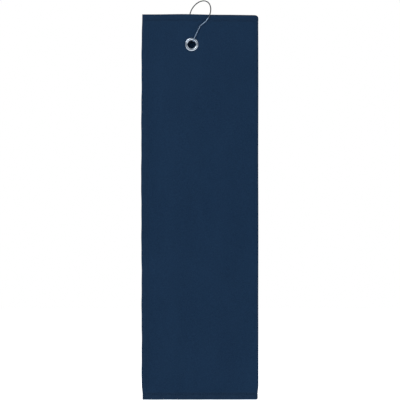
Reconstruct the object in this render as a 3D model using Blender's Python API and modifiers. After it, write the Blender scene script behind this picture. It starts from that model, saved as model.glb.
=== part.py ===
"""A golf towel: one cloth folded in three lengthways, an eyelet through its two flaps, and a wire hook.

Metres, +Z up. The towel hangs with its front flap facing -Y. Behind the front flap lies the inner flap, and
behind both the middle third of the cloth, which the eyelet leaves whole. The hook goes through the eyelet
and comes out at the top, between the inner flap and the back. The origin is the hook's seat: the point under
the ring's crown that bears on whatever the towel hangs from.
"""

import math

import bmesh
import bpy
from mathutils import Matrix, Vector

# The folded towel
TOWEL_WIDTH = 0.1508
TOWEL_LENGTH = 0.5000
LAYER = 0.0024
HEM_EXTRA = 0.0003
LAYER_GAP = 0.0002
HEM_WIDTH = 0.0095
HEM_STITCH = 0.0075
INNER_EDGE_GAP = 0.0035
FRONT_EDGE_OVERHANG = 0.0005
POCKET_OPEN_DOWN_TO = 0.0700
POCKET_SHUT_BELOW = 0.1400

# Stitching
THREAD_RADIUS = 0.00025
GROOVE_LAYER = 0.0012
GROOVE_HALF_WIDTH = 0.00055
GROOVE_SLOPE = 0.0004
THREAD_END_INSET = 0.0015

# The eyelet
EYELET_DROP = 0.0387
EYELET_OFFSET = 0.0107
EYELET_BORE_RADIUS = 0.0055
EYELET_FLANGE_RADIUS = 0.00825
EYELET_SHEET = 0.0004
EYELET_SHOULDER = 0.0012
EYELET_DOME = 0.0007
LIP_WIDTH = 0.0015
DIMPLE_DEPTH = 0.0010
BACK_DIMPLE_DEPTH = 0.0005
DIMPLE_MARGIN = 0.0007

# The wire hook
WIRE_RADIUS = 0.0007
RING_LONG = 0.0175
RING_SHORT = 0.0122
RING_LEAN = math.radians(30)
RING_ABOVE_EDGE = 0.0019
RING_ACROSS = 0.0110
RING_SPLIT = math.radians(-45)
RING_START = math.radians(124)
ARM_END = math.radians(-188)
CROSSING_MIDDLE = math.radians(-10)
CROSSING_HALF = math.radians(65)
CATCH_CLEARANCE = 0.0009
CATCH_HEEL = 0.0019
NECK_ANGLE = math.radians(141)
NECK_OUTSET = 0.0010
# The bend through the eyelet: across and up in bore radii, and deep in leg depths
BEND = (
    (-0.58, 1.00, 1.35),
    (-0.54, 0.97, 0.86),
    (-0.39, 0.75, 0.52),
    (-0.15, 0.25, 0.38),
    (0.15, -0.28, 0.49),
    (0.40, -0.82, 0.76),
    (0.56, -1.07, 1.15),
    (0.65, -1.06, 1.56),
)

# Clearances
TOUCH_GAP = 0.0003
WIRE_CLEARANCE = 0.0005

# Worked out from the sizes above
HEM_LAYER = LAYER + HEM_EXTRA
LAYER_PITCH = HEM_LAYER + LAYER_GAP
GROOVE_BOTTOM = GROOVE_LAYER / 2
THREAD_OFFSET = GROOVE_BOTTOM + TOUCH_GAP + THREAD_RADIUS
FRONT_FACE = LAYER_PITCH + LAYER / 2
DIMPLE_FLOOR = FRONT_FACE - DIMPLE_DEPTH
BACK_FLOOR = LAYER / 2 - BACK_DIMPLE_DEPTH
BARREL_OUTER = EYELET_BORE_RADIUS + EYELET_SHEET
CLOTH_HOLE = BARREL_OUTER + TOUCH_GAP
FLANGE_SEAT = DIMPLE_FLOOR + TOUCH_GAP + EYELET_SHEET / 2
WASHER_BACK = BACK_FLOOR + TOUCH_GAP + EYELET_SHEET
LIP_SEAT = WASHER_BACK + TOUCH_GAP + EYELET_SHEET / 2
CREST = EYELET_DOME / 2 + EYELET_SHEET / 2
FRONT_LEG = FLANGE_SEAT + CREST + WIRE_CLEARANCE + WIRE_RADIUS
BACK_LEG = LIP_SEAT + CREST + WIRE_CLEARANCE + WIRE_RADIUS
POCKET_PITCH = BACK_LEG + WIRE_RADIUS + WIRE_CLEARANCE + HEM_LAYER / 2


def ring_outline(angle, outset=0.0):
    """(x, z) on the ring, from the eyelet's centre. The angle runs clockwise from the ring's far end."""
    along = (RING_LONG + outset) * math.cos(angle)
    across = (RING_SHORT + outset) * math.sin(angle)
    x = RING_ACROSS + along * math.sin(RING_LEAN) + across * math.cos(RING_LEAN)
    z = EYELET_DROP + RING_ABOVE_EDGE + along * math.cos(RING_LEAN) - across * math.sin(RING_LEAN)
    return x, z


def crown_angle():
    """The ring's angle at its highest point."""
    return math.atan2(-RING_SHORT * math.sin(RING_LEAN), RING_LONG * math.cos(RING_LEAN))


CROWN_X, CROWN_Z = ring_outline(crown_angle())
EYELET_CENTRE = Vector((-CROWN_X, 0.0, WIRE_RADIUS - CROWN_Z))
TOWEL_MIDDLE = EYELET_CENTRE.x + EYELET_OFFSET
TOWEL_TOP = EYELET_CENTRE.z + EYELET_DROP
TOWEL_BOTTOM = TOWEL_TOP - TOWEL_LENGTH
FRONT_EDGE = TOWEL_MIDDLE - TOWEL_WIDTH / 2
LEFT_FOLD = FRONT_EDGE + FRONT_EDGE_OVERHANG + LAYER / 2
RIGHT_FOLD = TOWEL_MIDDLE + TOWEL_WIDTH / 2 - LAYER / 2
INNER_EDGE = RIGHT_FOLD - LAYER / 2 - INNER_EDGE_GAP


def clear_scene():
    for old in list(bpy.data.objects):
        bpy.data.objects.remove(old)


def collection(name):
    made = bpy.data.collections.new(name)
    bpy.context.scene.collection.children.link(made)
    return made


def material(name, colour, roughness, metallic=0.0):
    made = bpy.data.materials.new(name)
    made.use_nodes = True
    shader = made.node_tree.nodes["Principled BSDF"]
    shader.inputs["Base Color"].default_value = (*colour, 1.0)
    shader.inputs["Roughness"].default_value = roughness
    shader.inputs["Metallic"].default_value = metallic
    made.diffuse_color = (*colour, 1.0)
    return made


def add_object(name, data, parts, look=None, parent=None, at=None):
    """Links an object with its origin at a world point, under a parent that has no rotation."""
    made = bpy.data.objects.new(name, data)
    parts.objects.link(made)
    if look is not None:
        data.materials.append(look)
    place = Vector(at) if at is not None else Vector()
    if parent is not None:
        made.parent = parent
        place = place - parent.location
    made.location = place
    return made


def arc(centre_x, centre_y, radius, start, end, steps):
    """Points round a fold, ends included, in the plane seen from above."""
    made = []
    for i in range(steps + 1):
        angle = start + (end - start) * i / steps
        made.append((centre_x + radius * math.cos(angle), centre_y + radius * math.sin(angle)))
    return made


def back_pitch(below_top):
    """How far the back lies behind the inner flap: apart round the hook, and close together further down."""
    share = (below_top - POCKET_OPEN_DOWN_TO) / (POCKET_SHUT_BELOW - POCKET_OPEN_DOWN_TO)
    share = max(0.0, min(1.0, share))
    ease = share * share * (3 - 2 * share)
    return POCKET_PITCH + (LAYER_PITCH - POCKET_PITCH) * ease


def fold_route(below_top, outset=0.0, inset=0.0, steps=10):
    """The cloth's route at one height, from the front flap's free edge to the inner flap's."""
    half_turn = math.pi / 2
    back = back_pitch(below_top)
    right = (LAYER_PITCH + back) / 2
    left = back / 2
    route = [(FRONT_EDGE + inset, -LAYER_PITCH - outset)]
    route += arc(RIGHT_FOLD - right, back - right, right + outset, -half_turn, half_turn, steps)
    route += arc(LEFT_FOLD + left, left, left + outset, half_turn, 3 * half_turn, steps)
    route.append((INNER_EDGE - inset, -outset))
    return route


def hem_lines():
    """Distances from a free edge at which the cloth's thickness changes."""
    groove_edge = GROOVE_HALF_WIDTH + GROOVE_SLOPE
    return [
        0.0,
        LAYER / 3,
        HEM_STITCH - groove_edge,
        HEM_STITCH - GROOVE_HALF_WIDTH,
        HEM_STITCH + GROOVE_HALF_WIDTH,
        HEM_STITCH + groove_edge,
        HEM_WIDTH,
        HEM_WIDTH + 2 * GROOVE_SLOPE,
    ]


def thickness_at(from_side, from_end):
    """The cloth's thickness at two distances: from the nearest side edge and from the nearest end."""
    nearest = min(from_side, from_end)
    slack = GROOVE_SLOPE / 10
    in_groove = any(abs(d - HEM_STITCH) < GROOVE_HALF_WIDTH + slack for d in (from_side, from_end))
    if in_groove:
        return GROOVE_LAYER
    if nearest < slack:
        return HEM_LAYER * 0.75
    return HEM_LAYER if nearest < HEM_WIDTH + slack else LAYER


def cloth_sheet(name):
    """The folded cloth as an open sheet, with its thickness at each point in a vertex group."""
    lines = hem_lines()
    pocket = [POCKET_SHUT_BELOW + (POCKET_OPEN_DOWN_TO - POCKET_SHUT_BELOW) * i / 4 for i in range(5)]
    rows = [TOWEL_LENGTH - d for d in lines] + pocket + lines[::-1]
    sheet = bmesh.new()
    thickness = []
    grid = []
    for below_top in rows:
        corners = fold_route(below_top)
        front = [(FRONT_EDGE + d, -LAYER_PITCH) for d in lines]
        inner = [(INNER_EDGE - d, 0.0) for d in reversed(lines)]
        route = front + corners[1:-1] + inner
        side = lines + [TOWEL_WIDTH / 2] * (len(corners) - 2) + lines[::-1]
        from_end = min(below_top, TOWEL_LENGTH - below_top)
        grid.append([sheet.verts.new((x, y, TOWEL_TOP - below_top)) for x, y in route])
        thickness += [thickness_at(from_side, from_end) for from_side in side]
    for below, above in zip(grid, grid[1:]):
        for i in range(len(below) - 1):
            sheet.faces.new((below[i], below[i + 1], above[i + 1], above[i]))
    mesh = bpy.data.meshes.new(name)
    sheet.to_mesh(mesh)
    sheet.free()
    return mesh, thickness


def drum(name, radius_back, radius_front, back, front, cutters):
    """A cutter round the eyelet's axis, from y = back to y = front."""
    shape = bmesh.new()
    bmesh.ops.create_cone(
        shape,
        cap_ends=True,
        segments=48,
        radius1=radius_front,
        radius2=radius_back,
        depth=back - front,
        matrix=Matrix.Rotation(-math.pi / 2, 4, "X"),
    )
    mesh = bpy.data.meshes.new(name)
    shape.to_mesh(mesh)
    shape.free()
    made = add_object(name, mesh, cutters, at=EYELET_CENTRE + Vector((0, (back + front) / 2, 0)))
    made.hide_render = True
    made.display_type = "WIRE"
    return made


def add_cut(target, cutter):
    cut = target.modifiers.new(cutter.name, "BOOLEAN")
    cut.operation = "DIFFERENCE"
    cut.solver = "EXACT"
    cut.object = cutter


def towel_cloth(parts, cutters, look, axis):
    mesh, thickness = cloth_sheet("towel_cloth")
    cloth = add_object("towel_cloth", mesh, parts, look, axis)
    cloth.location = -axis.location
    group = cloth.vertex_groups.new(name="thickness")
    for index, value in enumerate(thickness):
        group.add([index], value / HEM_LAYER, "REPLACE")
    solid = cloth.modifiers.new("layer", "SOLIDIFY")
    solid.thickness = HEM_LAYER
    solid.offset = 0.0
    solid.vertex_group = group.name
    past = FRONT_FACE + LAYER
    narrow = EYELET_FLANGE_RADIUS + DIMPLE_MARGIN
    wide = narrow + past - DIMPLE_FLOOR
    add_cut(cloth, drum("eyelet_hole", CLOTH_HOLE, CLOTH_HOLE, BACK_LEG, -past, cutters))
    add_cut(cloth, drum("front_dimple", narrow, wide, -DIMPLE_FLOOR, -past, cutters))
    add_cut(cloth, drum("back_dimple", wide, narrow, BACK_LEG, BACK_FLOOR, cutters))
    return cloth


def wire(name, points, radius, parts, look, origin, parent=None):
    """A round wire through world points, with its own origin at a world point."""
    curve = bpy.data.curves.new(name, "CURVE")
    curve.dimensions = "3D"
    curve.bevel_depth = radius
    curve.bevel_resolution = 2
    curve.use_fill_caps = True
    spline = curve.splines.new("POLY")
    spline.points.add(len(points) - 1)
    for target, point in zip(spline.points, points):
        target.co = (*(point - origin), 1.0)
    return add_object(name, curve, parts, look, parent, origin)


def end_hem_thread(name, below_top, parts, look, axis):
    """The stitching of an end hem, which follows the cloth through both folds."""
    route = fold_route(below_top, THREAD_OFFSET, THREAD_END_INSET)
    points = [Vector((x, y, TOWEL_TOP - below_top)) for x, y in route]
    wire(name, points, THREAD_RADIUS, parts, look, EYELET_CENTRE, axis)


def side_hem_thread(name, x, y, parts, look, axis):
    """The stitching of a side hem, between the two end hems' stitching."""
    inset = HEM_STITCH + THREAD_END_INSET
    points = [Vector((x, y, TOWEL_BOTTOM + inset)), Vector((x, y, TOWEL_TOP - inset))]
    wire(name, points, THREAD_RADIUS, parts, look, EYELET_CENTRE, axis)


def quarter(centre_r, centre_h, wide, high, start, end, steps=4):
    """Points (r, h) on an elliptical arc of an eyelet's section, ends included."""
    made = []
    for i in range(steps + 1):
        angle = start + (end - start) * i / steps
        made.append((centre_r + wide * math.cos(angle), centre_h + high * math.sin(angle)))
    return made


def turned(name, section, thickness, parts, look, axis, steps=40):
    """A thin turned piece: the section's middle line turned round the eyelet's axis. h faces the front."""
    mesh = bpy.data.meshes.new(name)
    edges = [(i, i + 1) for i in range(len(section) - 1)]
    mesh.from_pydata([(r, 0.0, h) for r, h in section], edges, [])
    made = add_object(name, mesh, parts, look, axis, EYELET_CENTRE)
    made.rotation_euler = (math.pi / 2, 0.0, 0.0)
    screw = made.modifiers.new("turn", "SCREW")
    screw.steps = steps
    screw.render_steps = steps
    screw.use_merge_vertices = True
    screw.merge_threshold = 0.00001
    solid = made.modifiers.new("sheet", "SOLIDIFY")
    solid.thickness = thickness
    solid.offset = 0.0
    return made


def eyelet(parts, look, axis):
    """Flange, barrel and rolled lip: one piece pressed from sheet."""
    wall = EYELET_BORE_RADIUS + EYELET_SHEET / 2
    crest = wall + EYELET_SHOULDER
    rim = EYELET_FLANGE_RADIUS - crest
    front = quarter(crest, FLANGE_SEAT, rim, EYELET_DOME / 2, 0.0, math.pi / 2)
    shoulder = quarter(crest, DIMPLE_FLOOR, EYELET_SHOULDER, FLANGE_SEAT - DIMPLE_FLOOR + EYELET_DOME / 2,
                       math.pi / 2, math.pi)
    roll = LIP_WIDTH / 2
    lip = quarter(wall + roll, -LIP_SEAT, roll, EYELET_DOME / 2, math.pi, 3 * math.pi / 2)
    tail = [(wall + LIP_WIDTH, -LIP_SEAT)]
    turned("eyelet", front + shoulder[1:] + lip + tail, EYELET_SHEET, parts, look, axis)


def eyelet_washer(parts, look, axis):
    middle = -(WASHER_BACK - EYELET_SHEET / 2)
    section = [(EYELET_FLANGE_RADIUS, middle), (CLOTH_HOLE, middle)]
    turned("eyelet_washer", section, EYELET_SHEET, parts, look, axis)


def ring_point(angle, outset=0.0):
    """A point on the ring's wire: in front of the flaps on the right, behind them on the left."""
    share = max(-1.0, min(1.0, (angle - CROSSING_MIDDLE) / CROSSING_HALF))
    swing = math.sin(share * math.pi / 2)
    x, z = ring_outline(angle, outset)
    return EYELET_CENTRE + Vector((x, (BACK_LEG - FRONT_LEG) / 2 - swing * (BACK_LEG + FRONT_LEG) / 2, z))


def smooth_route(keys, spacing):
    """Evenly spaced points along a smooth curve through the key points."""
    padded = [2 * keys[0] - keys[1], *keys, 2 * keys[-1] - keys[-2]]
    fine = []
    for before, start, end, after in zip(padded, padded[1:], padded[2:], padded[3:]):
        for i in range(16):
            t = i / 16
            fine.append(
                0.5 * (2 * start + t * (end - before) + t * t * (2 * before - 5 * start + 4 * end - after)
                       + t ** 3 * (3 * start - before - 3 * end + after))
            )
    fine.append(keys[-1])
    length = sum((b - a).length for a, b in zip(fine, fine[1:]))
    count = math.ceil(length / spacing)
    made = [fine[0]]
    walked = 0.0
    for a, b in zip(fine, fine[1:]):
        piece = (b - a).length
        while len(made) < count and walked + piece >= len(made) * length / count:
            made.append(a.lerp(b, (len(made) * length / count - walked) / piece))
        walked += piece
    made.append(fine[-1])
    return made


def ring_stretch(start, end, steps):
    return [ring_point(start + (end - start) * i / steps) for i in range(steps + 1)]


def split_gap():
    """Half the angle of the gap between the two halves of the ring, which lets the arm turn."""
    step = math.radians(1)
    a, b = ring_point(RING_SPLIT), ring_point(RING_SPLIT + step)
    return TOUCH_GAP / (b - a).length * step


def hook_wire(parts, look):
    """The catch behind the flaps, the back leg, the bend through the eyelet, the front leg and the ring."""
    around = 2 * WIRE_RADIUS + CATCH_CLEARANCE
    catch = [ring_point(math.radians(-160 - 10 * i), around) for i in range(4)]
    heel = ring_point(math.radians(-197), around + CATCH_HEEL)
    bend = []
    for across, deep, up in BEND:
        y = deep * (BACK_LEG if deep > 0 else FRONT_LEG)
        bend.append(EYELET_CENTRE + Vector((across * EYELET_BORE_RADIUS, y, up * EYELET_BORE_RADIUS)))
    neck = ring_point(NECK_ANGLE, NECK_OUTSET)
    back_leg = [heel.lerp(bend[0], 0.35), heel.lerp(bend[0], 0.7)]
    front_leg = [bend[-1].lerp(neck, 0.3), bend[-1].lerp(neck, 0.6), bend[-1].lerp(neck, 0.85)]
    ring = ring_stretch(RING_START, RING_SPLIT + split_gap(), 14)
    keys = [*catch, heel, *back_leg, *bend, *front_leg, neck, *ring]
    wire("hook_wire", smooth_route(keys, 2.2 * WIRE_RADIUS), WIRE_RADIUS, parts, look, Vector())


def latch_arm(parts, look):
    """The rest of the ring, which springs against the catch and turns inwards about the crown."""
    keys = ring_stretch(RING_SPLIT - split_gap(), ARM_END, 12)
    points = smooth_route(keys, 2.2 * WIRE_RADIUS)
    wire("latch_arm", points, WIRE_RADIUS, parts, look, ring_point(RING_SPLIT))


def main():
    clear_scene()
    parts = collection("golf_towel")
    cutters = collection("cutters")
    navy = material("navy_terry", (0.0123, 0.0307, 0.0685), 0.95)
    thread = material("navy_thread", (0.0160, 0.0340, 0.0700), 0.80)
    nickel = material("nickel", (0.60, 0.65, 0.72), 0.22, 1.0)
    steel = material("spring_steel", (0.14, 0.17, 0.21), 0.30, 1.0)
    axis = add_object("towel_swing_axis", None, parts, at=EYELET_CENTRE)
    towel_cloth(parts, cutters, navy, axis)
    end_hem_thread("top_hem_thread", HEM_STITCH, parts, thread, axis)
    end_hem_thread("bottom_hem_thread", TOWEL_LENGTH - HEM_STITCH, parts, thread, axis)
    side_hem_thread("front_edge_thread", FRONT_EDGE + HEM_STITCH, -LAYER_PITCH - THREAD_OFFSET, parts,
                    thread, axis)
    side_hem_thread("inner_edge_thread", INNER_EDGE - HEM_STITCH, -THREAD_OFFSET, parts, thread, axis)
    eyelet(parts, nickel, axis)
    eyelet_washer(parts, nickel, axis)
    hook_wire(parts, steel)
    latch_arm(parts, steel)


main()
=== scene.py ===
"""A golf towel hanging from its wire hook: navy velour folded in three, an eyelet and a sprung wire."""

import math

import bmesh
import bpy
import numpy as np
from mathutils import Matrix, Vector


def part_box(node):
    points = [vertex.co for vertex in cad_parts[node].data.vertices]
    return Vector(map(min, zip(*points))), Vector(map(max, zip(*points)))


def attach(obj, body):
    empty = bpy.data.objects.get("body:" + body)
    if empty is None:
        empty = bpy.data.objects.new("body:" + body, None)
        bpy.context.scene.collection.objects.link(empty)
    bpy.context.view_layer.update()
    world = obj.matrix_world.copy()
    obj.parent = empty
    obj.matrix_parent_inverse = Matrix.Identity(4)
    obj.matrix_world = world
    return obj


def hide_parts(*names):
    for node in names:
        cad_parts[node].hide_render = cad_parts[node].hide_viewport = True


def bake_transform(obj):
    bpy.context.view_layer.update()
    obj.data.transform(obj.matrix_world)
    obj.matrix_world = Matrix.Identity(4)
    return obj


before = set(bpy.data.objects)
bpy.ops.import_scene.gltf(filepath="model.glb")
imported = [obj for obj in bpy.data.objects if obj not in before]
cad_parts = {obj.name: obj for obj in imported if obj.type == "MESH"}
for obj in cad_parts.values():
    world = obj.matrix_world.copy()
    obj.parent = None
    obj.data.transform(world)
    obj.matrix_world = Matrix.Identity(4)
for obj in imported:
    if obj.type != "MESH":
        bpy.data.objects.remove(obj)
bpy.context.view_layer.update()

MM = 0.001

# Places, from the CAD model
low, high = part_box("eyelet")
EYE = Vector(((low.x + high.x) / 2, 0.0, (low.z + high.z) / 2))
low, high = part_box("towel_cloth")
TOP, BOTTOM = high.z, low.z
LEFT, RIGHT = low.x, high.x
LENGTH = TOP - BOTTOM
MIDDLE = (LEFT + RIGHT) / 2

# The cloth's layers, as in the CAD model
LAYER = 2.4 * MM
HEM_LAYER = 2.7 * MM
PITCH = 2.9 * MM
POCKET_PITCH = 6.2 * MM
POCKET_OPEN_DOWN_TO = 70 * MM
POCKET_SHUT_BELOW = 140 * MM
HEM_WIDTH = 9.5 * MM
HEM_STITCH = 7.5 * MM
OVERHANG = 0.5 * MM
LEFT_FOLD = LEFT + OVERHANG + LAYER / 2
RIGHT_FOLD = RIGHT - LAYER / 2
INNER_EDGE_GAP = 3.5 * MM
INNER_EDGE = RIGHT_FOLD - LAYER / 2 - INNER_EDGE_GAP

# The eyelet and the hook, as in the CAD model
BORE = 5.5 * MM
FLANGE = 8.25 * MM
SHEET = 0.4 * MM
FLANGE_SEAT = 3.6 * MM
FLANGE_FLOOR = 3.1 * MM
WASHER_MIDDLE = 1.2 * MM
LIP_SEAT = 1.9 * MM
WIRE = 0.7 * MM
FRONT_LEG = 5.35 * MM
BACK_LEG = 3.65 * MM
RING_LONG, RING_SHORT, RING_LEAN = 17.5 * MM, 12.2 * MM, math.radians(30)
RING_X, RING_Z = 11.0 * MM, 40.6 * MM
RING_START, CROWN, ARM_TIP = math.radians(124), math.radians(-45), math.radians(-188)
CROSSING_MIDDLE, CROSSING_HALF = math.radians(-10), math.radians(65)
CATCH_CLEARANCE = 0.9 * MM
BEND = (
    (-0.58, 1.00, 1.35),
    (-0.54, 0.97, 0.86),
    (-0.39, 0.75, 0.52),
    (-0.15, 0.25, 0.38),
    (0.15, -0.28, 0.49),
    (0.40, -0.82, 0.76),
    (0.56, -1.07, 1.15),
    (0.65, -1.06, 1.56),
)

# The cloth's grid, finer round the eyelet, and the hole that is cut in it
EYE_FRONT, EYE_INNER = EYE.x - LEFT, INNER_EDGE - EYE.x
EYE_ZONE = 14 * MM
GRID, FINE_GRID = 2.2 * MM, 0.8 * MM
HOLE = 6.6 * MM

# How the cloth hangs
HANG_COLUMNS, HANG_ROWS = 24, 76
HANG_FRAMES = 30
HELD_ROUND_EYE = 16 * MM
GATHER = 0.012
MOST_HANG = 2.2 * MM
LEFT_EASE = 0.45 * MM
RIGHT_EASE = 0.50 * MM

# Stitching
STITCH_PITCH = 3.0 * MM
STITCH_LENGTH = 2.3 * MM
STITCH_DEPTH = 0.95 * MM
SIDE_PULL = 0.35
THREAD = 0.27 * MM
STITCH_RISE = (
    (0.00, -0.34),
    (0.10, 0.00),
    (0.30, 0.16),
    (0.50, 0.20),
    (0.70, 0.16),
    (0.90, 0.00),
    (1.00, -0.34),
)

WIRE_STEP = 0.45 * MM


def smooth(value):
    value = np.clip(value, 0.0, 1.0)
    return value * value * (3 - 2 * value)


# ---------------------------------------------------------------- materials


class Nodes:
    """Short names for building a material's node tree."""

    def __init__(self, name):
        self.material = bpy.data.materials.new(name)
        self.material.use_nodes = True
        self.tree = self.material.node_tree
        self.shader = self.tree.nodes["Principled BSDF"]
        self.coords = self.add("ShaderNodeTexCoord").outputs["Object"]

    def add(self, kind, **settings):
        node = self.tree.nodes.new(kind)
        for key, value in settings.items():
            setattr(node, key, value)
        return node

    def link(self, start, end):
        self.tree.links.new(start, end)

    def fill(self, socket, value):
        if isinstance(value, bpy.types.NodeSocket):
            self.link(value, socket)
        else:
            socket.default_value = value

    def noise(self, scale, detail=2.0, roughness=0.5, coords=None, distortion=0.0):
        node = self.add("ShaderNodeTexNoise")
        self.link(coords or self.coords, node.inputs["Vector"])
        node.inputs["Scale"].default_value = scale
        node.inputs["Detail"].default_value = detail
        node.inputs["Roughness"].default_value = roughness
        node.inputs["Distortion"].default_value = distortion
        return node.outputs["Fac"]

    def cells(self, scale, coords=None):
        node = self.add("ShaderNodeTexVoronoi")
        self.link(coords or self.coords, node.inputs["Vector"])
        node.inputs["Scale"].default_value = scale
        return node.outputs["Distance"]

    def stretched(self, x, y, z):
        node = self.add("ShaderNodeMapping")
        self.link(self.coords, node.inputs["Vector"])
        node.inputs["Scale"].default_value = (x, y, z)
        return node.outputs["Vector"]

    def math(self, operation, a, b=0.0):
        node = self.add("ShaderNodeMath", operation=operation)
        self.fill(node.inputs[0], a)
        self.fill(node.inputs[1], b)
        return node.outputs[0]

    def spread(self, value, low, high, to_low, to_high):
        node = self.add("ShaderNodeMapRange")
        self.link(value, node.inputs["Value"])
        node.inputs["From Min"].default_value = low
        node.inputs["From Max"].default_value = high
        node.inputs["To Min"].default_value = to_low
        node.inputs["To Max"].default_value = to_high
        return node.outputs["Result"]

    def mix(self, share, a, b):
        node = self.add("ShaderNodeMix", data_type="RGBA")
        self.fill(node.inputs[0], share)
        self.fill(node.inputs[6], a)
        self.fill(node.inputs[7], b)
        return node.outputs[2]

    def attribute(self, name):
        return self.add("ShaderNodeAttribute", attribute_name=name).outputs["Fac"]

    def bump(self, height, strength, distance, below=None):
        node = self.add("ShaderNodeBump")
        self.link(height, node.inputs["Height"])
        node.inputs["Strength"].default_value = strength
        node.inputs["Distance"].default_value = distance
        if below is not None:
            self.link(below, node.inputs["Normal"])
        return node.outputs["Normal"]

    def set(self, **values):
        names = {key.replace("_", " ").lower(): value for key, value in values.items()}
        for socket in self.shader.inputs:
            if socket.name.lower() in names:
                self.fill(socket, names[socket.name.lower()])


def rgb(red, green, blue):
    return (red, green, blue, 1.0)


def velour():
    """Sheared cotton terry: close tufts of fine fibre with painted shade in the gaps between them, soft
    patches of painted sheen where the pile lies, and flatter hem bands.
    """
    n = Nodes("navy_velour")
    wobble = n.add("ShaderNodeTexNoise")
    n.link(n.coords, wobble.inputs["Vector"])
    wobble.inputs["Scale"].default_value = 420
    wobble.inputs["Detail"].default_value = 2.0
    drift = n.add("ShaderNodeVectorMath", operation="SCALE")
    n.link(wobble.outputs["Color"], drift.inputs[0])
    drift.inputs["Scale"].default_value = 1.1 * MM
    places = n.add("ShaderNodeVectorMath", operation="ADD")
    n.link(n.coords, places.inputs[0])
    n.link(drift.outputs["Vector"], places.inputs[1])
    tufts = n.cells(2100, coords=places.outputs["Vector"])
    fibre = n.noise(5200, 3.0, 0.75)
    clumps = n.noise(700, 3.0, 0.6)
    nap = n.noise(34, 4.0, 0.55, coords=n.stretched(1.0, 1.0, 0.45), distortion=0.4)
    wide = n.noise(9, 2.0, 0.5)
    # Painted shade: the colour is darker in the gaps between tufts, where the pile shades itself.
    gap_shade, light = rgb(0.0040, 0.0150, 0.0385), rgb(0.0150, 0.0425, 0.0930)
    colour = n.mix(n.spread(tufts, 0.15, 0.75, 0.9, 0.1), gap_shade, light)
    colour = n.mix(n.spread(fibre, 0.38, 0.62, 0.0, 0.8), rgb(0.0052, 0.0180, 0.0450), colour)
    colour = n.mix(n.spread(clumps, 0.35, 0.65, 0.0, 0.40), colour, light)
    # Painted sheen: broad lighter patches where the pile lies another way and catches the light.
    pile_sheen = n.math("ADD", n.spread(nap, 0.3, 0.7, -0.5, 0.5), n.spread(wide, 0.3, 0.7, -0.5, 0.5))
    colour = n.mix(n.spread(pile_sheen, -0.8, 0.8, 0.0, 0.22), colour, light)
    hem = n.attribute("hem")
    ribs = n.noise(620, 1.0, 0.4, coords=n.stretched(1.0, 1.0, 0.22))
    ribbed = n.spread(ribs, 0.35, 0.65, 0.0, 1.0)
    band = n.mix(ribbed, rgb(0.0095, 0.0235, 0.0490), rgb(0.0135, 0.0300, 0.0590))
    colour = n.mix(n.math("MULTIPLY", hem, 0.55), colour, band)
    # Painted shade: the colour is darker along the groove that the stitching pulls in.
    colour = n.mix(n.math("MULTIPLY", n.attribute("groove"), 0.15), colour, rgb(0.0052, 0.0165, 0.0410))
    pile = n.math("SUBTRACT", n.math("MULTIPLY", fibre, 1.2), n.math("MULTIPLY", tufts, 0.9))
    pile = n.math("ADD", pile, n.math("MULTIPLY", clumps, 0.25))
    normal = n.bump(pile, 1.0, 0.34 * MM, below=n.bump(nap, 0.35, 0.8 * MM))
    n.set(Base_Color=colour, Roughness=n.spread(fibre, 0.3, 0.7, 0.9, 1.0), Normal=normal,
          Specular_IOR_Level=0.06, Sheen_Weight=0.05, Sheen_Roughness=0.5, Sheen_Tint=rgb(0.30, 0.45, 0.75))
    return n.material


def cotton_thread():
    """Three-ply sewing thread, a little smoother and brighter than the pile round it."""
    n = Nodes("navy_thread")
    ply = n.add("ShaderNodeTexWave", wave_type="BANDS", bands_direction="DIAGONAL")
    n.link(n.coords, ply.inputs["Vector"])
    ply.inputs["Scale"].default_value = 620
    ply.inputs["Distortion"].default_value = 1.2
    fuzz = n.noise(4200, 2.0)
    tone = n.noise(160, 2.0)
    # Painted shade: darker bands in the hollows between the thread's plies, lighter on their crowns.
    colour = n.mix(ply.outputs["Fac"], rgb(0.0075, 0.0245, 0.0610), rgb(0.0140, 0.0410, 0.0950))
    colour = n.mix(n.spread(tone, 0.3, 0.7, 0.0, 0.4), colour, rgb(0.0105, 0.0330, 0.0780))
    normal = n.bump(fuzz, 0.3, 0.05 * MM, below=n.bump(ply.outputs["Fac"], 0.8, 0.12 * MM))
    n.set(Base_Color=colour, Roughness=n.spread(fuzz, 0.3, 0.7, 0.68, 0.85), Normal=normal,
          Specular_IOR_Level=0.14, Sheen_Weight=0.03, Sheen_Roughness=0.4, Sheen_Tint=rgb(0.30, 0.45, 0.75))
    return n.material


def plated(name, tones, roughness, scratches, dents, painted_reflection_tones=None):
    """Polished plate over pressed or drawn metal: hairlines, faint waves and dull handled patches.

    With painted reflection tones, the metal below the towel's top is painted lighter and bluer, a painted
    reflection of light from the front and of the navy cloth.
    """
    n = Nodes(name)
    hair = n.noise(2600, 2.0, 0.6, coords=n.stretched(1.0, 1.0, 0.12))
    handled = n.noise(260, 4.0, 0.6)
    waves = n.noise(170, 2.0)
    specks = n.cells(1400)
    patches = n.spread(handled, 0.35, 0.7, 0.0, 1.0)
    colour = n.mix(patches, *tones)
    # Painted reflection: below the towel's top the dark wire's colour is made lighter and bluer, standing in
    # for light reflected there.
    if painted_reflection_tones:
        height = n.add("ShaderNodeSeparateXYZ")
        n.link(n.coords, height.inputs["Vector"])
        below = n.spread(height.outputs["Z"], TOP + 1 * MM, TOP - 6 * MM, 0.0, 1.0)
        colour = n.mix(below, colour, n.mix(patches, *painted_reflection_tones))
    colour = n.mix(n.spread(specks, 0.0, 0.10, 0.35, 0.0), colour, rgb(0.12, 0.12, 0.13))
    rough = n.math("ADD", n.spread(handled, 0.3, 0.75, roughness * 0.7, roughness * 1.5),
                   n.spread(hair, 0.4, 0.7, 0.0, 0.07))
    normal = n.bump(hair, scratches, 0.02 * MM, below=n.bump(waves, dents, 0.25 * MM))
    n.set(Base_Color=colour, Metallic=1.0, Roughness=rough, Normal=normal)
    return n.material


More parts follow.
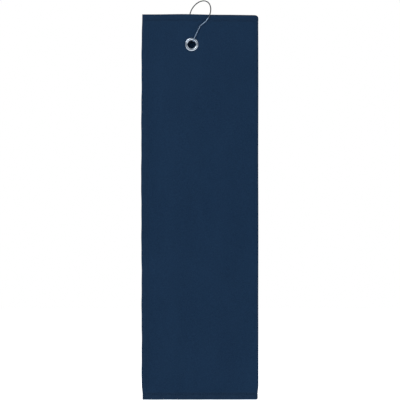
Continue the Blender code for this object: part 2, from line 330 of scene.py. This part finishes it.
# ---------------------------------------------------------------- the cloth


def spaced(start, end, step):
    count = max(1, math.ceil((end - start) / step))
    return [start + (end - start) * i / count for i in range(1, count + 1)]


def edge_lines():
    """Distances from a hemmed edge at which the hem's section is drawn."""
    return [d * MM for d in (0, 0.2, 0.5, 0.95, 1.5, 2.6, 4.0, 5.4, 6.3, 6.8, 7.15, 7.5, 7.85, 8.2, 8.7, 9.2,
                             9.6, 10.0, 10.6)]


def lines_from_edge(end, eye_distance):
    """Grid lines from a hemmed edge to end, closer together round the eyelet."""
    made = edge_lines()
    made += spaced(made[-1], eye_distance - EYE_ZONE, GRID)
    made += spaced(made[-1], eye_distance + EYE_ZONE, FINE_GRID)
    made += spaced(made[-1], end, GRID)
    return np.array(made)


def stretched_lines(lines, eye_distance, end):
    """The same grid lines, spread beyond the eyelet so that the last one lies at end."""
    fixed = eye_distance + EYE_ZONE
    return np.where(lines > fixed, fixed + (lines - fixed) * (end - fixed) / (lines[-1] - fixed), lines)


def back_pitch(below_top):
    """The back third's distance behind the inner panel: wide where the hook passes, then closed up."""
    share = smooth((below_top - POCKET_OPEN_DOWN_TO) / (POCKET_SHUT_BELOW - POCKET_OPEN_DOWN_TO))
    return POCKET_PITCH + (PITCH - POCKET_PITCH) * share


def folded_row(below_top, front_lines, inner_lines, turn=14):
    """One level of the cloth's middle: positions, outward normals, distances from the side edge, and layer.

    Layer is 0 on the front panel, 1 on the folds and the back third, and 2 on the inner panel.
    """
    back = float(back_pitch(below_top))
    right = (PITCH + back) / 2
    left = back / 2
    front_end = RIGHT_FOLD - right - LEFT
    inner_end = INNER_EDGE - LEFT_FOLD - left
    lines = stretched_lines(front_lines, EYE_FRONT, front_end)
    inner = stretched_lines(inner_lines, EYE_INNER, inner_end)
    angle = np.linspace(-math.pi / 2, math.pi / 2, turn + 1)[1:-1]
    straight = np.linspace(RIGHT_FOLD - right, LEFT_FOLD + left, 66)
    far_angle = np.linspace(math.pi / 2, 3 * math.pi / 2, turn + 1)[1:-1]
    x = np.concatenate([
        LEFT + lines,
        RIGHT_FOLD - right + right * np.cos(angle),
        straight,
        LEFT_FOLD + left + left * np.cos(far_angle),
        (INNER_EDGE - inner)[::-1],
    ])
    y = np.concatenate([
        np.full(len(lines), -PITCH),
        back - right + right * np.sin(angle),
        np.full(len(straight), back),
        left + left * np.sin(far_angle),
        np.zeros(len(inner)),
    ])
    nx = np.concatenate([
        np.zeros(len(lines)),
        np.cos(angle),
        np.zeros(len(straight)),
        np.cos(far_angle),
        np.zeros(len(inner)),
    ])
    ny = np.concatenate([
        np.full(len(lines), -1.0),
        np.sin(angle),
        np.ones(len(straight)),
        np.sin(far_angle),
        np.full(len(inner), -1.0),
    ])
    bends = np.full(len(angle) + len(straight) + len(far_angle), 0.1)
    side = np.concatenate([front_lines, bends, inner_lines[::-1]])
    layer = np.concatenate([np.zeros(len(lines)), np.full(len(bends), 1.0), np.full(len(inner), 2.0)])
    return x, y, nx, ny, side, layer


def hem_share(distance):
    """1 in the hem, at a distance from its edge, and 0 beyond it."""
    return 1 - smooth((distance - (HEM_WIDTH - 0.2 * MM)) / (0.7 * MM))


def groove_share(distance):
    """1 in the groove that the stitching pulls, and 0 away from it."""
    return np.exp(-((distance - HEM_STITCH) / (0.62 * MM)) ** 2)


def edge_round(distance):
    """The thickness left near a turned edge, which is rounded over."""
    reach = HEM_LAYER / 2
    inwards = np.clip(distance / reach, 0, 1)
    return 0.30 + 0.70 * np.sqrt(1 - (1 - inwards) ** 2)


def groove_depth(side, end):
    """How far the stitching pulls the cloth in: deep along the end hems, and shallow along the side hems."""
    return np.maximum(SIDE_PULL * groove_share(side), groove_share(end))


def cloth_thickness(side, end, x, z):
    """The cloth's thickness at distances from a side edge and an end edge, puckered along the stitches."""
    groove = groove_depth(side, end)
    hem = np.maximum(hem_share(side), hem_share(end))
    pucker = 1 + 0.35 * np.sin(2 * math.pi * (x + z) / STITCH_PITCH)
    made = LAYER + (HEM_LAYER - LAYER) * hem - STITCH_DEPTH * groove * pucker
    return made * edge_round(side) * edge_round(end)


def hanging_panel():
    """A panel of the towel's size, gathered a little, and held along its top hem and round the eyelet."""
    across = np.linspace(LEFT, RIGHT, HANG_COLUMNS)
    down = np.linspace(0, LENGTH, HANG_ROWS)
    x, below = np.meshgrid(across, down)
    start = np.random.default_rng(5).normal(0, 0.5 * MM, x.shape)
    flutes = 1.5 * MM * np.sin(2 * math.pi * (x / 0.064 + below / 0.9)) * smooth(below / 0.06)
    gathered = MIDDLE + (x - MIDDLE) * (1 - GATHER * np.exp(-below / 0.05))
    points = np.stack([gathered, start + flutes, TOP - below], 2)
    index = np.arange(x.size).reshape(x.shape)
    quads = np.stack([index[:-1, :-1], index[:-1, 1:], index[1:, 1:], index[1:, :-1]], 2).reshape(-1, 4)
    mesh = bpy.data.meshes.new("hanging_panel")
    mesh.from_pydata(points.reshape(-1, 3).tolist(), [], quads.tolist())
    panel = bpy.data.objects.new("hanging_panel", mesh)
    bpy.context.scene.collection.objects.link(panel)
    held = panel.vertex_groups.new(name="held")
    near_eye = np.hypot(x - EYE.x, TOP - below - EYE.z) < HELD_ROUND_EYE
    held.add(index[(below < HEM_WIDTH) | near_eye].tolist(), 1.0, "REPLACE")
    cloth = panel.modifiers.new("fall", "CLOTH")
    cloth.settings.quality = 8
    cloth.settings.mass = 0.02
    cloth.settings.tension_stiffness = 20
    cloth.settings.compression_stiffness = 20
    cloth.settings.shear_stiffness = 8
    cloth.settings.bending_stiffness = 1.5
    cloth.settings.air_damping = 2.0
    cloth.settings.vertex_group_mass = held.name
    return panel


def hang():
    """How far the hung cloth stands out of its plane, on a grid: a panel falls and settles by simulation."""
    panel = hanging_panel()
    scene = bpy.context.scene
    for step in range(1, HANG_FRAMES + 1):
        scene.frame_set(step)
    settled = panel.evaluated_get(bpy.context.evaluated_depsgraph_get()).to_mesh()
    places = np.zeros(len(settled.vertices) * 3)
    settled.vertices.foreach_get("co", places)
    out = places.reshape(HANG_ROWS, HANG_COLUMNS, 3)[:, :, 1]
    panel.to_mesh_clear()
    bpy.data.objects.remove(panel)
    scene.frame_set(1)
    lean = out.mean(1, keepdims=True)
    out = out - lean * 0.7
    for _ in range(2):
        out[1:-1] = (out[:-2] + 2 * out[1:-1] + out[2:]) / 4
        out[:, 1:-1] = (out[:, :-2] + 2 * out[:, 1:-1] + out[:, 2:]) / 4
    return np.clip(out, -MOST_HANG, MOST_HANG)


def hang_at(x, below_top):
    """The simulated panel's height out of its plane at points of the cloth."""
    column = np.clip((x - LEFT) / (RIGHT - LEFT), 0, 1) * (HANG_COLUMNS - 1.001)
    row = np.clip(below_top / LENGTH, 0, 1) * (HANG_ROWS - 1.001)
    i, j = row.astype(int), column.astype(int)
    u, v = smooth(row - i) * 0.5 + (row - i) * 0.5, smooth(column - j) * 0.5 + (column - j) * 0.5
    high_side = HUNG[i, j] * (1 - v) + HUNG[i, j + 1] * v
    low_side = HUNG[i + 1, j] * (1 - v) + HUNG[i + 1, j + 1] * v
    return high_side * (1 - u) + low_side * u


def relax(x, y, z, below_top):
    """Moves points of the folded cloth as a hung cloth lies: wandering edges, soft waves, eased corners."""
    across = (x - LEFT) / (RIGHT - LEFT)
    left_share = smooth(1 - across * 2.2)
    right_share = smooth(across * 2.2 - 1.2)
    end = LENGTH - below_top

    # The free edge on the left bows out above the middle, and both sides draw in at the foot
    wander = -0.55 * MM * np.exp(-((below_top - 0.21) / 0.11) ** 2) + 0.75 * MM * np.exp(-below_top / 0.02)
    wander += 0.16 * MM * np.sin(below_top / 0.013 + 0.7) + 0.10 * MM * np.sin(below_top / 0.0047)
    waist = 1.05 * MM * smooth((0.019 - end) / 0.012)
    fold_wander = 0.10 * MM * np.sin(below_top / 0.031 + 1.9)
    new_x = x + left_share * (wander + waist - LEFT_EASE) - right_share * (waist + fold_wander - RIGHT_EASE)

    # The top edge slopes to a rounded right corner, and the foot's corner lifts
    corner = np.clip((x - (RIGHT - 5 * MM)) / (5 * MM), 0, 1)
    drop = 3.2 * MM * (1 - np.sqrt(1 - 0.96 * corner ** 2)) * np.exp(-below_top / 0.010)
    slope = 0.75 * across - 0.45 - 0.62 * np.exp(-((across - 0.36) / 0.17) ** 2)
    slope = (slope + 0.3 * smooth(across * 4 - 3)) * MM * np.exp(-below_top / 0.08)
    low_corner = np.clip((x - (RIGHT - 3 * MM)) / (3 * MM), 0, 1)
    lift = 1.0 * MM * (1 - np.sqrt(1 - 0.96 * low_corner ** 2)) * np.exp(-end / 0.006)
    sway_z = 0.14 * MM * np.sin(x / 0.0093 + 0.4) * np.exp(-end / 0.02)
    settle = 0.5 * MM * np.exp(-end / 0.05)
    new_z = z - drop - slope + lift + sway_z - settle

    # Below the eyelet the cloth is free to wave, and its hems ripple
    free = smooth((below_top - 0.065) / 0.12)
    wave = np.sin(2 * math.pi * (x / 0.17 + below_top / 0.46) + 0.6)
    new_y = y + free * (0.5 * MM * wave + hang_at(x, below_top))
    new_y = new_y + 0.28 * MM * np.sin(x / 0.0041) * np.exp(-end / 0.009)
    new_y = new_y + 0.25 * MM * left_share * free * np.sin(below_top / 0.0052)
    return new_x, new_y, new_z


def seat_eyelet(x, y, z, thick, layer):
    """Presses the flaps in under the flange and the washer, with small radial puckers round them."""
    radius = np.hypot(x - EYE.x, z - EYE.z)
    round_it = np.arctan2(z - EYE.z, x - EYE.x)
    press = 1 - smooth((radius - (FLANGE + 0.25 * MM)) / (3.0 * MM))
    pucker = np.exp(-((radius - FLANGE - 2.2 * MM) / (2.6 * MM)) ** 2)
    pucker = pucker * np.sin(9 * round_it + 0.5 * np.sin(3 * round_it))
    front, inner = layer == 0, layer == 2
    squeeze = np.where(front, 0.74 * MM, np.where(inner, 0.22 * MM, 0.0)) * press
    y = y + np.where(front, squeeze / 2 + 0.10 * MM * pucker, 0.0) - np.where(inner, squeeze / 2, 0.0)
    return y, thick - squeeze


def cloth_data(front_lines, inner_lines, levels):
    """For each level: both faces' points, the shares of hem and groove, and where the eyelet's hole is."""
    rows = []
    for below_top in levels:
        x, y, nx, ny, side, layer = folded_row(below_top, front_lines, inner_lines)
        z = np.full_like(x, TOP - below_top)
        end = np.full_like(x, min(below_top, LENGTH - below_top))
        thick = cloth_thickness(side, end, x, z)
        y, thick = seat_eyelet(x, y, z, thick, layer)
        outer = relax(x + nx * thick / 2, y + ny * thick / 2, z, np.full_like(x, below_top))
        inner = relax(x - nx * thick / 2, y - ny * thick / 2, z, np.full_like(x, below_top))
        low_hem = np.full_like(x, hem_share(LENGTH - below_top))
        hem = np.maximum(np.maximum(hem_share(side), hem_share(end)) * 0.3, low_hem)
        groove = groove_depth(side, end)
        hole = (np.hypot(x - EYE.x, z - EYE.z) < HOLE) & (layer != 1)
        rows.append((np.stack(outer, 1), np.stack(inner, 1), hem, groove, hole))
    return rows


def rim(quads):
    """The open edges round patches of faces, in the faces' own direction."""
    used = {}
    for a, b, c, d in quads:
        for start, end in ((a, b), (b, c), (c, d), (d, a)):
            if (end, start) in used:
                del used[(end, start)]
            else:
                used[(start, end)] = True
    return list(used)


def build_cloth():
    """One closed mesh: the cloth's outer and inner faces, joined round its edges and the eyelet's hole."""
    levels = lines_from_edge(LENGTH / 2, TOP - EYE.z)
    tail = np.array(edge_lines())
    middle = np.array(spaced(levels[-1], LENGTH - tail[-1], GRID)[:-1])
    levels = np.concatenate([levels, middle, LENGTH - tail[::-1]])
    front_lines = lines_from_edge(RIGHT_FOLD - (PITCH + POCKET_PITCH) / 2 - LEFT, EYE_FRONT)
    inner_lines = lines_from_edge(INNER_EDGE - LEFT_FOLD - POCKET_PITCH / 2, EYE_INNER)
    rows = cloth_data(front_lines, inner_lines, levels)
    high_count, wide_count = len(rows), len(rows[0][2])
    outer = np.array([row[0] for row in rows])
    inner = np.array([row[1] for row in rows])
    hole = np.array([row[4] for row in rows])
    points = np.concatenate([outer.reshape(-1, 3), inner.reshape(-1, 3)])
    shift = high_count * wide_count
    index = np.arange(shift).reshape(high_count, wide_count)
    corners = [index[:-1, :-1], index[:-1, 1:], index[1:, 1:], index[1:, :-1]]
    solid = ~(hole[:-1, :-1] & hole[:-1, 1:] & hole[1:, 1:] & hole[1:, :-1])
    quads = np.stack([c[solid] for c in corners], 1)
    faces = [tuple(q) for q in quads[:, ::-1].tolist()] + [tuple(q) for q in (quads + shift).tolist()]
    faces += [(start, end, end + shift, start + shift) for start, end in rim(quads.tolist())]
    mesh = bpy.data.meshes.new("towel")
    mesh.from_pydata(points.tolist(), [], faces)
    for name, column in (("hem", 2), ("groove", 3)):
        values = np.array([row[column] for row in rows]).reshape(-1)
        attribute = mesh.attributes.new(name, "FLOAT", "POINT")
        attribute.data.foreach_set("value", np.tile(values, 2).astype(np.float32))
    shape = bmesh.new()
    shape.from_mesh(mesh)
    unused = [v for v in shape.verts if not v.link_faces]
    bmesh.ops.delete(shape, geom=unused, context="VERTS")
    bmesh.ops.recalc_face_normals(shape, faces=shape.faces[:])
    shape.to_mesh(mesh)
    shape.free()
    mesh.shade_smooth()
    return add("towel", mesh, cloth_look)


def add(name, data, look):
    made = bpy.data.objects.new(name, data)
    bpy.context.scene.collection.objects.link(made)
    data.materials.append(look)
    return made


# ---------------------------------------------------------------- stitching


def sunk_stitch(start, end, normal, wobble):
    """The middle line of one stitch, which rises from the cloth and dives back into it."""
    made = []
    along = end - start
    aside = along.cross(normal).normalized() * wobble
    for share, rise in STITCH_RISE:
        made.append(start + along * share + normal * rise * MM + aside * (share - 0.5))
    return made


def capsules(name, lines, radius, sides=8):
    """Round threads along many short lines, closed to a point at both ends."""
    points, faces = [], []
    for line in lines:
        base = len(points)
        for i, point in enumerate(line):
            ahead = (line[min(i + 1, len(line) - 1)] - line[max(i - 1, 0)]).normalized()
            up = Vector((0, 0, 1)) if abs(ahead.z) < 0.8 else Vector((1, 0, 0))
            first = ahead.cross(up).normalized()
            second = ahead.cross(first)
            thin = 0.55 if i in (0, len(line) - 1) else 1.0
            for k in range(sides):
                angle = 2 * math.pi * k / sides
                points.append(point + (first * math.cos(angle) + second * math.sin(angle)) * radius * thin)
        for i in range(len(line) - 1):
            for k in range(sides):
                a, b = base + i * sides + k, base + i * sides + (k + 1) % sides
                faces.append((a, b, b + sides, a + sides))
        faces.append(tuple(base + k for k in range(sides))[::-1])
        faces.append(tuple(base + (len(line) - 1) * sides + k for k in range(sides)))
    mesh = bpy.data.meshes.new(name)
    mesh.from_pydata([tuple(p) for p in points], [], faces)
    mesh.shade_smooth()
    return add(name, mesh, thread_look)


def stitch_row(name, path, normals, seed):
    """Stitches at an even pitch along a path on the cloth's face."""
    random = np.random.default_rng(seed)
    lengths = np.concatenate([[0], np.cumsum([(b - a).length for a, b in zip(path, path[1:])])])

    def at(distance):
        i = int(np.clip(np.searchsorted(lengths, distance) - 1, 0, len(path) - 2))
        share = (distance - lengths[i]) / (lengths[i + 1] - lengths[i])
        return path[i].lerp(path[i + 1], share), normals[i].lerp(normals[i + 1], share).normalized()

    count = int((lengths[-1] - STITCH_LENGTH) / STITCH_PITCH)
    lines = []
    for k in range(count + 1):
        slip, wobble = random.normal(0, 0.06) * MM, random.normal(0, 0.10) * MM
        start, normal = at(k * STITCH_PITCH + max(0.0, slip))
        end, other = at(min(k * STITCH_PITCH + STITCH_LENGTH + slip, lengths[-1]))
        lines.append(sunk_stitch(start, end, (normal + other).normalized(), wobble))
    return capsules(name, lines, THREAD)


def end_hem_row(name, below_top, seed):
    """The row through an end hem, on the outer face all the way round both folds."""
    edge = edge_lines()
    front_end = RIGHT_FOLD - (PITCH + POCKET_PITCH) / 2 - LEFT
    inner_end = INNER_EDGE - LEFT_FOLD - POCKET_PITCH / 2
    front_lines = np.array(edge + spaced(edge[-1], front_end, 2 * MM))
    inner_lines = np.array(edge + spaced(edge[-1], inner_end, 2 * MM))
    x, y, nx, ny, side, layer = folded_row(below_top, front_lines, inner_lines)
    keep = (side > 1.2 * MM) | (layer == 1)
    z = np.full_like(x, TOP - below_top)
    half = (HEM_LAYER - STITCH_DEPTH) / 2 + 0.10 * MM
    px, py, pz = relax(x + nx * half, y + ny * half, z, np.full_like(x, below_top))
    path = [Vector(p) for p, k in zip(np.stack([px, py, pz], 1).tolist(), keep) if k]
    normals = [Vector((a, b, 0)) for a, b, k in zip(nx.tolist(), ny.tolist(), keep) if k]
    return stitch_row(name, path, normals, seed)


def side_hem_row(name, x, y, seed):
    """The row along a panel's free edge, on the face that looks forwards."""
    levels = np.arange(HEM_STITCH + 1.5 * MM, LENGTH - HEM_STITCH - 1.5 * MM, 2 * MM)
    half = (HEM_LAYER - SIDE_PULL * STITCH_DEPTH) / 2 + 0.02 * MM
    flat = np.full_like(levels, x)
    px, py, pz = relax(flat, np.full_like(levels, y - half), TOP - levels, levels)
    path = [Vector(p) for p in np.stack([px, py, pz], 1).tolist()]
    return stitch_row(name, path, [Vector((0, -1, 0))] * len(path), seed)


# ---------------------------------------------------------------- the eyelet


def quarter(centre_r, centre_h, wide, high_by, start, end, steps=10):
    """Part of an ellipse in the eyelet's section, by radius and height in front of the inner panel."""
    angles = [start + (end - start) * i / steps for i in range(steps + 1)]
    return [(centre_r + wide * math.cos(a), centre_h + high_by * math.sin(a)) for a in angles]


def turned(name, section, look, seed, steps=112):
    """A thin pressed piece turned round the eyelet's axis, its sheet closed and slightly uneven."""
    section = [Vector((r, h)) for r, h in section]
    sides = []
    for sign in (1, -1):
        line = []
        for i, point in enumerate(section):
            ahead = (section[min(i + 1, len(section) - 1)] - section[max(i - 1, 0)]).normalized()
            line.append(point + Vector((-ahead.y, ahead.x)) * sign * SHEET / 2)
        sides.append(line)
    first, last = section[0] - section[1], section[-1] - section[-2]
    nose = section[0] + first.normalized() * SHEET * 0.42
    tail = section[-1] + last.normalized() * SHEET * 0.42
    loop = [nose] + sides[0] + [tail] + sides[1][::-1]
    points, faces = [], []
    for i in range(steps):
        turn = 2 * math.pi * i / steps
        uneven = 0.05 * MM * math.sin(3 * turn + seed) + 0.03 * MM * math.sin(7 * turn + 2 * seed)
        for point in loop:
            share = max(0.0, (point.x - BORE) / (FLANGE - BORE))
            r = point.x + uneven * share
            h = point.y + uneven * share * 0.6
            points.append((EYE.x + r * math.cos(turn), EYE.y - h, EYE.z + r * math.sin(turn)))
    size = len(loop)
    for i in range(steps):
        for k in range(size):
            a, b = i * size + k, i * size + (k + 1) % size
            c, d = (i + 1) % steps * size + (k + 1) % size, (i + 1) % steps * size + k
            faces.append((a, b, c, d))
    mesh = bpy.data.meshes.new(name)
    mesh.from_pydata(points, [], faces)
    shape = bmesh.new()
    shape.from_mesh(mesh)
    bmesh.ops.recalc_face_normals(shape, faces=shape.faces[:])
    shape.to_mesh(mesh)
    shape.free()
    mesh.shade_smooth()
    return add(name, mesh, look)


def eyelet_pieces():
    """The eyelet's flange, barrel and rolled lip as one sheet, and the washer that the lip holds."""
    dome, shoulder, lip = 0.7 * MM, 1.2 * MM, 1.5 * MM
    wall = BORE + SHEET / 2
    crest = wall + shoulder
    front = quarter(crest, FLANGE_SEAT, FLANGE - crest, dome / 2, 0.0, math.pi / 2)
    rise = FLANGE_SEAT - FLANGE_FLOOR + dome / 2
    over = quarter(crest, FLANGE_FLOOR, shoulder, rise, math.pi / 2, math.pi)
    barrel = [(wall, FLANGE_FLOOR + (-LIP_SEAT - FLANGE_FLOOR) * i / 8) for i in range(1, 8)]
    curl = quarter(wall + lip / 2, -LIP_SEAT, lip / 2, dome / 2, math.pi, 3 * math.pi / 2)
    section = front + over[1:] + barrel + curl + [(wall + lip, -LIP_SEAT)]
    ring = turned("eyelet_ring", section, nickel_look, 1.0)
    inner = BORE + SHEET + 0.3 * MM
    flat = [(FLANGE + (inner - FLANGE) * i / 8, -WASHER_MIDDLE) for i in range(9)]
    washer = turned("eyelet_back_washer", flat, nickel_look, 2.6)
    return ring, washer


# ---------------------------------------------------------------- the hook


def ring_point(angle, outset=0.0):
    """A point on the hook's leaning oval ring, which crosses from in front of the flaps to behind them."""
    along = (RING_LONG + outset) * math.cos(angle)
    across = (RING_SHORT + outset) * math.sin(angle)
    x = RING_X + along * math.sin(RING_LEAN) + across * math.cos(RING_LEAN)
    z = RING_Z + along * math.cos(RING_LEAN) - across * math.sin(RING_LEAN)
    share = max(-1.0, min(1.0, (angle - CROSSING_MIDDLE) / CROSSING_HALF))
    swing = math.sin(share * math.pi / 2)
    return EYE + Vector((x, (BACK_LEG - FRONT_LEG) / 2 - swing * (BACK_LEG + FRONT_LEG) / 2, z))


def smooth_route(keys, spacing):
    """Evenly spaced points along a smooth curve through the key points."""
    padded = [2 * keys[0] - keys[1], *keys, 2 * keys[-1] - keys[-2]]
    fine = []
    for before, start, end, after in zip(padded, padded[1:], padded[2:], padded[3:]):
        for i in range(24):
            t = i / 24
            square = t * t * (2 * before - 5 * start + 4 * end - after)
            cube = t ** 3 * (3 * start - before - 3 * end + after)
            fine.append(0.5 * (2 * start + t * (end - before) + square + cube))
    fine.append(keys[-1])
    lengths = np.concatenate([[0], np.cumsum([(b - a).length for a, b in zip(fine, fine[1:])])])
    count = math.ceil(lengths[-1] / spacing)
    made = []
    for i in range(count + 1):
        distance = lengths[-1] * i / count
        k = int(np.clip(np.searchsorted(lengths, distance) - 1, 0, len(fine) - 2))
        made.append(fine[k].lerp(fine[k + 1], (distance - lengths[k]) / (lengths[k + 1] - lengths[k])))
    return made


def wire(name, points, first_point, last_point, round_start, round_end, sides=20):
    """A round drawn wire along a stretch of points, its cut ends rounded over."""
    frames = []
    side = Vector((0, 1, 0))
    for i, point in enumerate(points):
        ahead = (points[min(i + 1, len(points) - 1)] - points[max(i - 1, 0)]).normalized()
        side = (side - ahead * side.dot(ahead)).normalized()
        frames.append((point, ahead, side, ahead.cross(side), 1.0))
    frames = frames[first_point:last_point + 1]

    def cap(frame_at, sign):
        point, ahead, first, second, _ = frame_at
        made = []
        for angle in [math.radians(a) for a in (18, 36, 54, 72, 86)]:
            place = point + ahead * sign * WIRE * 0.75 * math.sin(angle)
            made.append((place, ahead, first, second, math.cos(angle)))
        return made

    if round_start:
        frames = cap(frames[0], -1)[::-1] + frames
    if round_end:
        frames = frames + cap(frames[-1], 1)
    vertices, faces = [], []
    for point, _, first, second, size in frames:
        for k in range(sides):
            angle = 2 * math.pi * k / sides
            vertices.append(point + (first * math.cos(angle) + second * math.sin(angle)) * WIRE * size)
    for i in range(len(frames) - 1):
        for k in range(sides):
            a, b = i * sides + k, i * sides + (k + 1) % sides
            faces.append((a, b, b + sides, a + sides))
    for ring, order in ((0, -1), (len(frames) - 1, 1)):
        faces.append(tuple(ring * sides + k for k in range(sides))[::order])
    mesh = bpy.data.meshes.new(name)
    mesh.from_pydata([tuple(v) for v in vertices], [], faces)
    mesh.shade_smooth()
    mesh.set_sharp_from_angle(angle=math.radians(60))
    return add(name, mesh, wire_look)


def hook_pieces():
    """One bent wire, from the catch through the eyelet and round the ring, cut in two at the crown."""
    around = 2 * WIRE + CATCH_CLEARANCE
    catch = [ring_point(math.radians(-160 - 10 * i), around) for i in range(4)]
    heel = ring_point(math.radians(-197), around + 1.9 * MM)
    bend = []
    for across, deep, up in BEND:
        bend.append(EYE + Vector((across * BORE, deep * (BACK_LEG if deep > 0 else FRONT_LEG), up * BORE)))
    neck = ring_point(math.radians(141), 1.0 * MM)
    back_leg = [heel.lerp(bend[0], 0.35), heel.lerp(bend[0], 0.7)]
    front_leg = [bend[-1].lerp(neck, 0.3), bend[-1].lerp(neck, 0.6), bend[-1].lerp(neck, 0.85)]
    ring = [ring_point(RING_START + (CROWN - RING_START) * i / 14) for i in range(15)]
    arm_ring = [ring_point(CROWN + (ARM_TIP - CROWN) * i / 12) for i in range(1, 13)]
    keys = [*catch, heel, *back_leg, *bend, *front_leg, neck, *ring, *arm_ring]
    route = smooth_route(keys, WIRE_STEP)
    crown = min(range(len(route)), key=lambda i: (route[i] - ring_point(CROWN)).length)
    hook = wire("hook", route, 0, crown, True, False)
    arm = wire("hook_arm", route, crown, len(route) - 1, False, True)
    return hook, arm


# ---------------------------------------------------------------- build

HUNG = hang()
cloth_look = velour()
thread_look = cotton_thread()
nickel_look = plated("bright_nickel", (rgb(0.60, 0.67, 0.76), rgb(0.38, 0.44, 0.52)), 0.17, 0.25, 0.35)
wire_look = plated("drawn_wire", (rgb(0.050, 0.054, 0.060), rgb(0.022, 0.024, 0.028)), 0.20, 0.45, 0.15,
                   painted_reflection_tones=(rgb(0.200, 0.275, 0.380), rgb(0.090, 0.130, 0.190)))

towel = build_cloth()
top_row = end_hem_row("top_hem_stitches", HEM_STITCH, 11)
bottom_row = end_hem_row("bottom_hem_stitches", LENGTH - HEM_STITCH, 12)
front_row = side_hem_row("front_edge_stitches", LEFT + HEM_STITCH, -PITCH, 13)
inner_row = side_hem_row("inner_edge_stitches", INNER_EDGE - HEM_STITCH, 0.0, 14)
eyelet, washer = eyelet_pieces()
hook, arm = hook_pieces()

for piece, body, slot, node in (
    (towel, "towel", "cloth", "towel_cloth"),
    (top_row, "towel", "thread", "top_hem_thread"),
    (bottom_row, "towel", "thread", "bottom_hem_thread"),
    (front_row, "towel", "thread", "front_edge_thread"),
    (inner_row, "towel", "thread", "inner_edge_thread"),
    (eyelet, "towel", "nickel", "eyelet"),
    (washer, "towel", "nickel", "eyelet_washer"),
    (hook, "hook", "wire", "hook_wire"),
):
    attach(piece, body)
    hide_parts(node)
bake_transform(arm)
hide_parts("latch_arm")

# ---------------------------------------------------------------- studio


def floor():
    mesh = bpy.data.meshes.new("floor")
    size, level = 4.0, BOTTOM - 0.060
    corners = [(-size, -size, level), (size, -size, level), (size, size, level), (-size, size, level)]
    mesh.from_pydata(corners, [], [(0, 1, 2, 3)])
    n = Nodes("pale_floor")
    grain = n.noise(60, 3.0)
    n.set(Base_Color=n.mix(grain, rgb(0.90, 0.90, 0.90), rgb(0.94, 0.94, 0.94)), Roughness=0.9,
          Specular_IOR_Level=0.1, Emission_Color=rgb(1.0, 1.0, 1.0), Emission_Strength=0.72)
    add("floor", mesh, n.material)


def lamp(name, place, target, size, power):
    data = bpy.data.lights.new(name, "AREA")
    data.shape = "RECTANGLE"
    data.size, data.size_y = size
    data.energy = power
    made = bpy.data.objects.new(name, data)
    bpy.context.scene.collection.objects.link(made)
    made.location = place
    made.rotation_euler = (Vector(target) - Vector(place)).to_track_quat("-Z", "Y").to_euler()
    made.visible_camera = False


def studio():
    world = bpy.data.worlds.new("studio")
    bpy.context.scene.world = world
    world.use_nodes = True
    tree = world.node_tree
    backdrop = tree.nodes["Background"]
    backdrop.inputs["Color"].default_value = rgb(1.0, 1.0, 1.0)
    backdrop.inputs["Strength"].default_value = 1.0
    glow = tree.nodes.new("ShaderNodeBackground")
    glow.inputs["Color"].default_value = rgb(0.93, 0.96, 1.0)
    glow.inputs["Strength"].default_value = 0.31
    path = tree.nodes.new("ShaderNodeLightPath")
    mix = tree.nodes.new("ShaderNodeMixShader")
    tree.links.new(path.outputs["Is Camera Ray"], mix.inputs["Fac"])
    tree.links.new(glow.outputs["Background"], mix.inputs[1])
    tree.links.new(backdrop.outputs["Background"], mix.inputs[2])
    tree.links.new(mix.outputs["Shader"], tree.nodes["World Output"].inputs["Surface"])
    aim = (MIDDLE, 0.0, (TOP + BOTTOM) / 2)
    lamp("key", (-1.0, -1.5, 1.0), (MIDDLE, 0.0, TOP), (1.2, 1.2), 19)
    lamp("fill", (1.3, -1.4, 1.1), aim, (1.0, 1.0), 6)
    lamp("back", (0.4, 1.7, 1.0), aim, (1.4, 1.0), 13)
    lamp("top", (0.0, 0.0, 1.6), aim, (1.6, 1.6), 8)
    view = bpy.context.scene.view_settings
    view.view_transform = "Standard"
    view.look = "None"
    view.exposure = 0.0
    view.gamma = 1.0


def camera():
    width, distance, height = 0.5198, 3.2, 0.2591
    data = bpy.data.cameras.new("camera")
    data.sensor_width = 36.0
    data.lens = 36.0 * distance / width
    data.clip_end = 50.0
    made = bpy.data.objects.new("camera", data)
    bpy.context.scene.collection.objects.link(made)
    front = -PITCH - LAYER / 2
    made.location = (MIDDLE, front - distance, BOTTOM + height)
    made.rotation_euler = (math.pi / 2, 0.0, 0.0)
    bpy.context.scene.camera = made


floor()
studio()
camera()
